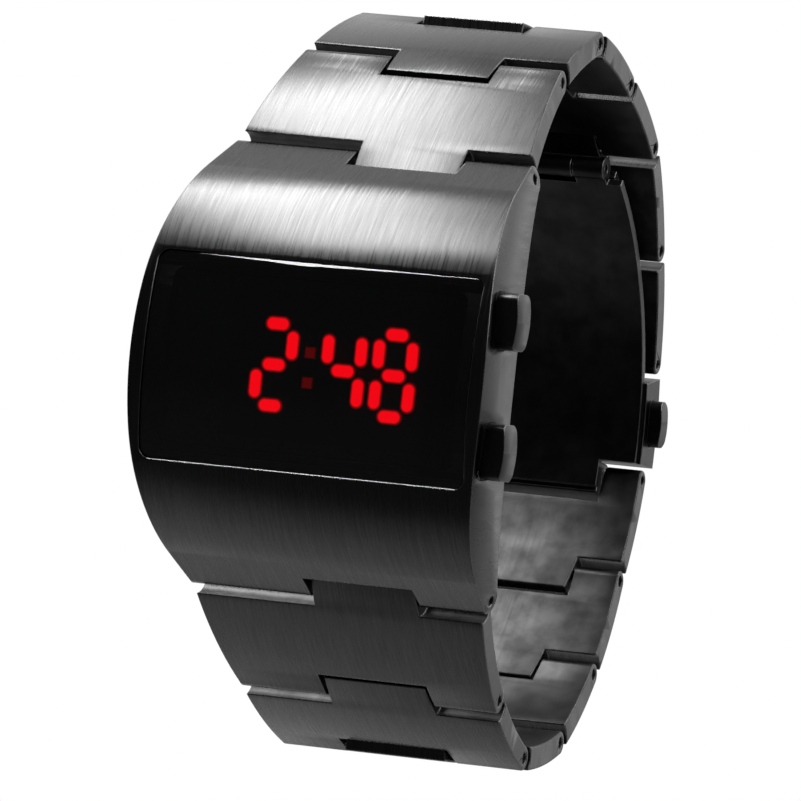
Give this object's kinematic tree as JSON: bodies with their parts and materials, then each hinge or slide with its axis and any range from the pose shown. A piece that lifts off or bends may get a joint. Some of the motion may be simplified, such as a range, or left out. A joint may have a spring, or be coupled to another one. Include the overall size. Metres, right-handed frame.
{
  "type": "digital bracelet watch",
  "caption": "Bracelet watch with a curved case, a dark window with lit digits, interlocking pinned links and a folding clasp.",
  "frame": {"origin": "middle of the wrist opening, on the middle plane of the case", "axes": "+X across the band toward the push-pieces, +Z from the middle to twelve o'clock, and the face looks along -Y"},
  "size_m": [0.039, 0.0732, 0.0743],
  "materials": {
    "case_steel": "black-plated steel, brushed",
    "link_steel": "black-plated steel, brushed along the band",
    "clasp_steel": "black-plated steel, brushed",
    "back_steel": "brushed steel",
    "pusher_steel": "black-plated steel, satin",
    "pin_steel": "turned steel",
    "spring_steel": "wound wire",
    "window_glass": "dark polished mineral glass",
    "seal_rubber": "moulded rubber",
    "frame_plastic": "moulded plastic",
    "board": "solder mask",
    "display": "black panel",
    "lit_segments": "lit red",
    "dim_segments": "unlit red lens",
    "chip": "moulded epoxy",
    "nickel": "nickel plated",
    "contact_brass": "sheet bronze"
  },
  "bodies": {
    "case": {"case_body": "case_steel", "window_crystal": "window_glass", "crystal_gasket": "seal_rubber", "case_back": "back_steel", "back_gasket": "seal_rubber", "back_screws": "pin_steel", "module_frame": "frame_plastic", "circuit_board": "board", "display_panel": "display", "lit_digits": "lit_segments", "colon_dots": "dim_segments", "driver_chip": "chip", "quartz_can": "nickel", "coin_cells": "nickel", "cell_clip": "contact_brass", "cell_contacts": "contact_brass", "pusher_contacts": "contact_brass", "case_pins": "pin_steel", "upper_pusher_spring": "spring_steel", "lower_pusher_spring": "spring_steel", "pusher_seals": "seal_rubber"},
    "upper_push_piece": {"upper_pusher": "pusher_steel", "upper_pusher_clip": "pin_steel"},
    "lower_push_piece": {"lower_pusher": "pusher_steel", "lower_pusher_clip": "pin_steel"},
    "upper_link_1": {"upper_link_1": "link_steel", "upper_pin_1": "pin_steel"},
    "upper_link_2": {"upper_link_2": "link_steel", "upper_pin_2": "pin_steel"},
    "upper_link_3": {"upper_link_3": "link_steel", "upper_pin_3": "pin_steel"},
    "upper_link_4": {"upper_link_4": "link_steel", "upper_pin_4": "pin_steel"},
    "upper_link_5": {"upper_link_5": "link_steel", "upper_pin_5": "pin_steel"},
    "upper_link_6": {"upper_link_6": "link_steel", "upper_spring_bar": "pin_steel"},
    "lower_link_1": {"lower_link_1": "link_steel", "lower_pin_1": "pin_steel"},
    "lower_link_2": {"lower_link_2": "link_steel", "lower_pin_2": "pin_steel"},
    "lower_link_3": {"lower_link_3": "link_steel", "lower_pin_3": "pin_steel"},
    "lower_link_4": {"lower_link_4": "link_steel", "lower_pin_4": "pin_steel"},
    "lower_link_5": {"lower_link_5": "link_steel", "lower_pin_5": "pin_steel"},
    "lower_link_6": {"lower_link_6": "link_steel"},
    "clasp_leaf": {"clasp_leaf": "clasp_steel"},
    "clasp_plate": {"clasp_plate": "clasp_steel", "latch_housing": "clasp_steel", "clasp_hinge_pin": "pin_steel", "lower_spring_bar": "pin_steel", "latch_springs": "spring_steel"},
    "latch_button_right": {"latch_button_right": "pusher_steel"},
    "latch_button_left": {"latch_button_left": "pusher_steel"}
  },
  "joints": [
    {"name": "upper_push", "type": "slide", "parent": "case", "child": "upper_push_piece", "axis": [-1, 0, 0], "range_m": [0, 0.0005], "stiffness_N_per_m": 400, "springref_m": -0.0005, "deforming": ["upper_pusher_spring"]},
    {"name": "lower_push", "type": "slide", "parent": "case", "child": "lower_push_piece", "axis": [-1, 0, 0], "range_m": [0, 0.0005], "stiffness_N_per_m": 400, "springref_m": -0.0005, "deforming": ["lower_pusher_spring"]},
    {"name": "upper_hinge_1", "type": "hinge", "parent": "case", "child": "upper_link_1", "pos_m": [0, -0.02216, 0.02063], "axis": [1, 0, 0], "range_deg": [0, 20]},
    {"name": "upper_hinge_2", "type": "hinge", "parent": "upper_link_1", "child": "upper_link_2", "pos_m": [0, -0.01165, 0.03078], "axis": [1, 0, 0], "range_deg": [0, 21]},
    {"name": "upper_hinge_3", "type": "hinge", "parent": "upper_link_2", "child": "upper_link_3", "pos_m": [0, -0.00024, 0.03562], "axis": [1, 0, 0], "range_deg": [0, 38]},
    {"name": "upper_hinge_4", "type": "hinge", "parent": "upper_link_3", "child": "upper_link_4", "pos_m": [0, 0.01174, 0.03241], "axis": [1, 0, 0], "range_deg": [0, 12]},
    {"name": "upper_hinge_5", "type": "hinge", "parent": "upper_link_4", "child": "upper_link_5", "pos_m": [0, 0.02279, 0.02678], "axis": [1, 0, 0], "range_deg": [0, 28]},
    {"name": "upper_hinge_6", "type": "hinge", "parent": "upper_link_5", "child": "upper_link_6", "pos_m": [0, 0.0299, 0.01662], "axis": [1, 0, 0], "range_deg": [0, 13]},
    {"name": "lower_hinge_1", "type": "hinge", "parent": "case", "child": "lower_link_1", "pos_m": [0, -0.02216, -0.02063], "axis": [-1, 0, 0], "range_deg": [0, 20]},
    {"name": "lower_hinge_2", "type": "hinge", "parent": "lower_link_1", "child": "lower_link_2", "pos_m": [0, -0.01131, -0.0304], "axis": [-1, 0, 0], "range_deg": [0, 14]},
    {"name": "lower_hinge_3", "type": "hinge", "parent": "lower_link_2", "child": "lower_link_3", "pos_m": [0, -0.00071, -0.03604], "axis": [-1, 0, 0], "range_deg": [0, 31]},
    {"name": "lower_hinge_4", "type": "hinge", "parent": "lower_link_3", "child": "lower_link_4", "pos_m": [0, 0.01117, -0.03437], "axis": [-1, 0, 0], "range_deg": [0, 33]},
    {"name": "lower_hinge_5", "type": "hinge", "parent": "lower_link_4", "child": "lower_link_5", "pos_m": [0, 0.02088, -0.02731], "axis": [-1, 0, 0], "range_deg": [0, 20]},
    {"name": "lower_hinge_6", "type": "hinge", "parent": "lower_link_5", "child": "lower_link_6", "pos_m": [0, 0.02794, -0.0176], "axis": [-1, 0, 0], "range_deg": [0, 5]},
    {"name": "clasp_unfold", "type": "hinge", "parent": "upper_link_6", "child": "clasp_leaf", "pos_m": [0, 0.03454, 0.00513], "axis": [1, 0, 0], "range_deg": [0, 90]},
    {"name": "clasp_open", "type": "hinge", "parent": "clasp_leaf", "child": "clasp_plate", "pos_m": [0, 0.01822, 0.02411], "axis": [-1, 0, 0], "range_deg": [0, 90]},
    {"name": "latch_right_press", "type": "slide", "parent": "clasp_plate", "child": "latch_button_right", "axis": [-1, 0, 0], "range_m": [0, 0.0008], "stiffness_N_per_m": 300, "springref_m": -0.0006, "deforming": ["latch_springs"]},
    {"name": "latch_left_press", "type": "slide", "parent": "clasp_plate", "child": "latch_button_left", "axis": [1, 0, 0], "range_m": [0, 0.0008], "stiffness_N_per_m": 300, "springref_m": -0.0006, "deforming": ["latch_springs"]}
  ]
}
